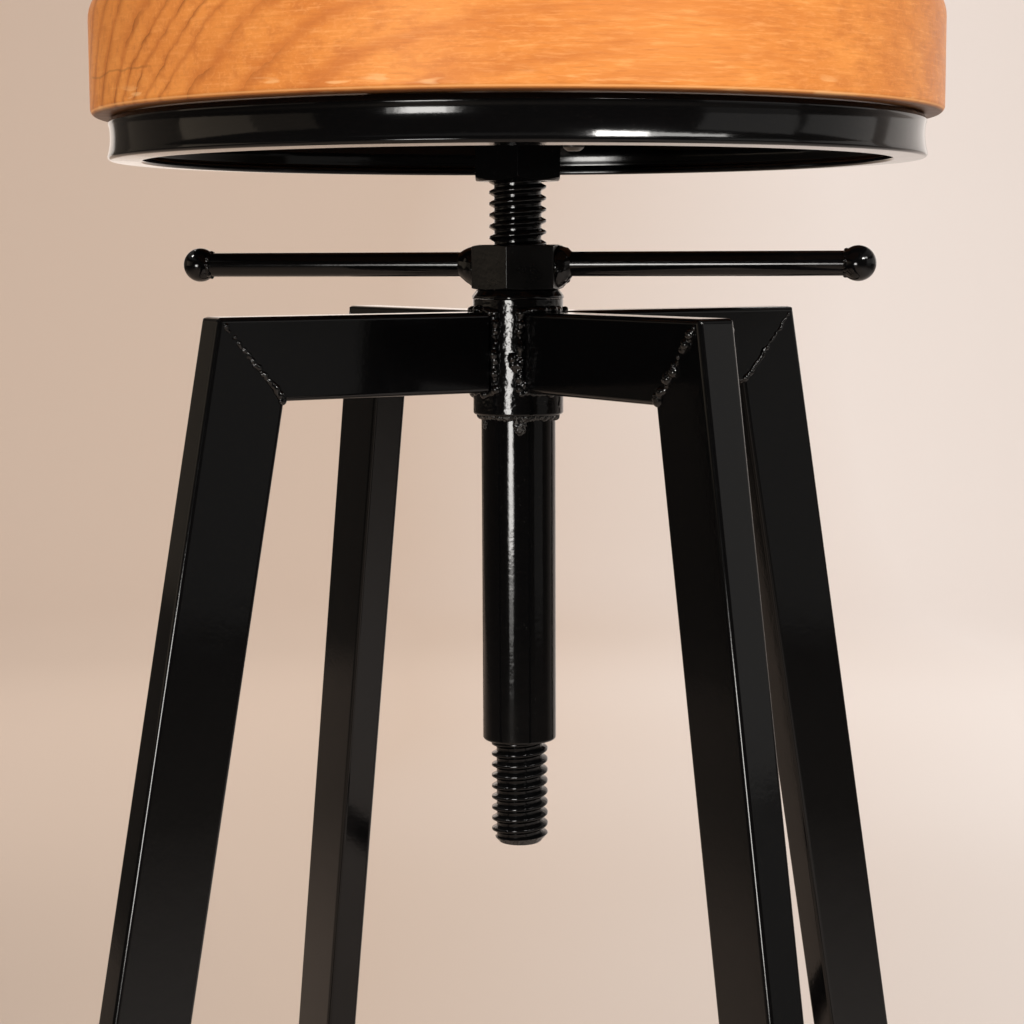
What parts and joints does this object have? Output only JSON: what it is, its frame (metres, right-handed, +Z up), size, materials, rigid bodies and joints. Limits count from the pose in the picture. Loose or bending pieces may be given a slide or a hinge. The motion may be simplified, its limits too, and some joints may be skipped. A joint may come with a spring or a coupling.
{
  "type": "bar stool",
  "caption": "Industrial swivel bar stool: round stained wood seat on a threaded lift screw with a handled lock nut, on a welded black frame of splayed tube legs with a ring footrest.",
  "frame": {"origin": "on the floor, under the screw's axis", "axes": "+Z up along the lift screw; the lock bars lie along X at rest, and the legs stand on the diagonals of X and Y"},
  "size_m": [0.3328, 0.3328, 0.713],
  "materials": {
    "seat_wood": "satin varnish over an orange-brown stain",
    "black_paint": "gloss black paint with slight orange peel",
    "foot_plastic": "matt black moulded plastic",
    "zinc_steel": "zinc plated"
  },
  "bodies": {
    "frame": {"hub": "black_paint", "sleeve": "black_paint", "sleeve_weld": "black_paint", "arm_front_left": "black_paint", "arm_front_right": "black_paint", "arm_back_left": "black_paint", "arm_back_right": "black_paint", "hub_weld_front_left": "black_paint", "hub_weld_front_right": "black_paint", "hub_weld_back_left": "black_paint", "hub_weld_back_right": "black_paint", "leg_front_left": "black_paint", "leg_front_right": "black_paint", "leg_back_left": "black_paint", "leg_back_right": "black_paint", "mitre_weld_front_left": "black_paint", "mitre_weld_front_right": "black_paint", "mitre_weld_back_left": "black_paint", "mitre_weld_back_right": "black_paint", "footrest_ring": "black_paint", "footrest_weld_upper_front_left": "black_paint", "footrest_weld_upper_front_right": "black_paint", "footrest_weld_upper_back_left": "black_paint", "footrest_weld_upper_back_right": "black_paint", "footrest_weld_lower_front_left": "black_paint", "footrest_weld_lower_front_right": "black_paint", "footrest_weld_lower_back_left": "black_paint", "footrest_weld_lower_back_right": "black_paint", "foot_cap_front_left": "foot_plastic", "foot_cap_front_right": "foot_plastic", "foot_cap_back_left": "foot_plastic", "foot_cap_back_right": "foot_plastic"},
    "seat_carrier": {"seat_washer": "black_paint"},
    "seat": {"seat_top": "seat_wood", "seat_ring": "black_paint", "seat_cross_bar": "black_paint", "seat_cross_bar_front": "black_paint", "seat_cross_bar_back": "black_paint", "seat_nut": "black_paint", "lift_screw": "black_paint", "seat_screw_front": "zinc_steel", "seat_screw_back": "zinc_steel", "seat_screw_left": "zinc_steel", "seat_screw_right": "zinc_steel"},
    "lock_carrier": {"lock_washer": "black_paint"},
    "lock_handle": {"lock_nut": "black_paint", "lock_bar_left": "black_paint", "lock_bar_right": "black_paint", "lock_ball_left": "black_paint", "lock_ball_right": "black_paint", "lock_weld_left": "black_paint", "lock_weld_right": "black_paint"}
  },
  "joints": [
    {"name": "seat_rise", "type": "slide", "parent": "frame", "child": "seat_carrier", "axis": [0, 0, 1], "range_m": [-0.0121, 0.1205]},
    {"name": "seat_turn", "type": "hinge", "parent": "seat_carrier", "child": "seat", "pos_m": [0, 0, 0.6615], "axis": [0, 0, 1], "range_deg": [-1080, 10800]},
    {"name": "lock_turn", "type": "hinge", "parent": "frame", "child": "lock_carrier", "pos_m": [0, 0, 0.6046], "axis": [0, 0, 1], "range_deg": [0, 720]},
    {"name": "lock_rise", "type": "slide", "parent": "lock_carrier", "child": "lock_handle", "axis": [0, 0, 1], "range_m": [0, 0.0081]}
  ],
  "couplings": [
    {"joint": "seat_rise", "follows": "seat_turn", "m_per_rad": 0.00063662},
    {"joint": "lock_rise", "follows": "lock_turn", "m_per_rad": 0.00063662}
  ]
}
